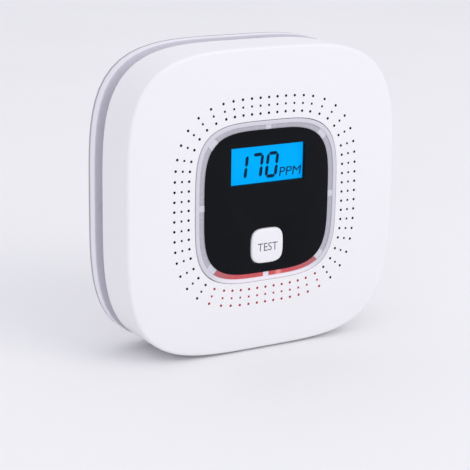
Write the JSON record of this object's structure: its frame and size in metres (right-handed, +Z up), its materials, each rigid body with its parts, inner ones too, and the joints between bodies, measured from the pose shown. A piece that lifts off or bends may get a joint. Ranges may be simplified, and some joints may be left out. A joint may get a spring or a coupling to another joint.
{
  "type": "carbon monoxide detector",
  "caption": "Battery carbon monoxide detector with a rounded-square cover, vent field, lit display, light ring and test button, on a twist-lock wall plate.",
  "frame": {"origin": "on the wall, midway between the two wall screws, which is the middle of the wall plate's back", "axes": "+X to the right as seen from the front, +Y into the wall, +Z up"},
  "size_m": [0.116, 0.0329, 0.116],
  "materials": {
    "mounting_plate": "satin off-white moulded plastic",
    "front_cover": "smooth white moulded plastic",
    "vent_screen": "fine black woven screen",
    "rear_housing": "matt light grey moulded plastic",
    "lens_panel": "polished black acrylic",
    "display_window": "clear acrylic pane",
    "light_ring": "translucent clear plastic",
    "light_tray": "white reflector plastic",
    "test_button": "smooth white plastic",
    "switch_plunger": "black plastic",
    "switch_base": "dark plastic body",
    "lcd_glass": "liquid crystal glass lit blue",
    "lcd_backlight": "clear light guide",
    "lcd_holder": "white frame",
    "lcd_connectors": "layered silicone strips",
    "circuit_board": "green solder mask on glass fibre board",
    "red_leds": "red light emitting diodes",
    "green_leds": "green light emitting diodes",
    "amber_leds": "amber light emitting diodes",
    "sensor_can": "steel sensor can",
    "sensor_cap": "white filter cap",
    "buzzer_housing": "black resonator housing",
    "piezo_disc": "brass disc with ceramic layer",
    "microcontroller": "black epoxy chip",
    "small_chips": "small black and grey chips",
    "capacitors": "sleeved aluminium cans",
    "inductor": "dark ferrite bobbin",
    "battery": "sleeved dry cell",
    "battery_springs": "plated spring wire",
    "battery_contacts": "plated contact strip",
    "battery_door": "matt light grey moulded plastic",
    "door_pad": "dark foam rubber",
    "red_wire": "red insulated wire",
    "black_wire": "black insulated wire",
    "screws": "zinc plated screws",
    "rating_label": "blank pale label"
  },
  "bodies": {
    "wall_plate": {"mounting_plate": "mounting_plate"},
    "detector": {"front_cover": "front_cover", "vent_screen": "vent_screen", "rear_housing": "rear_housing", "lens_panel": "lens_panel", "display_window": "display_window", "light_ring": "light_ring", "light_tray": "light_tray", "switch_base": "switch_base", "lcd_glass": "lcd_glass", "lcd_backlight": "lcd_backlight", "lcd_holder": "lcd_holder", "lcd_connectors": "lcd_connectors", "circuit_board": "circuit_board", "red_leds": "red_leds", "green_leds": "green_leds", "amber_leds": "amber_leds", "sensor_can": "sensor_can", "sensor_cap": "sensor_cap", "buzzer_housing": "buzzer_housing", "piezo_disc": "piezo_disc", "microcontroller": "microcontroller", "small_chips": "small_chips", "capacitors": "capacitors", "inductor": "inductor", "battery_upper": "battery", "battery_lower": "battery", "battery_springs": "battery_springs", "battery_contacts": "battery_contacts", "red_wire": "red_wire", "black_wire": "black_wire", "case_screws": "screws", "board_screws": "screws", "rating_label": "rating_label"},
    "test_button": {"test_button": "test_button", "switch_plunger": "switch_plunger"},
    "battery_door": {"battery_door": "battery_door", "door_pad": "door_pad"}
  },
  "joints": [
    {"name": "body_twist", "type": "hinge", "parent": "wall_plate", "child": "detector", "pos_m": [0, 0, 0], "axis": [0, -1, 0], "range_deg": [0, 18]},
    {"name": "test_press", "type": "slide", "parent": "detector", "child": "test_button", "axis": [0, 1, 0], "range_m": [0, 0.0008], "stiffness_N_per_m": 1000, "springref_m": -0.001},
    {"name": "door_swing", "type": "hinge", "parent": "detector", "child": "battery_door", "pos_m": [0, -0.0026, -0.0158], "axis": [-1, 0, 0], "range_deg": [0, 100]}
  ]
}
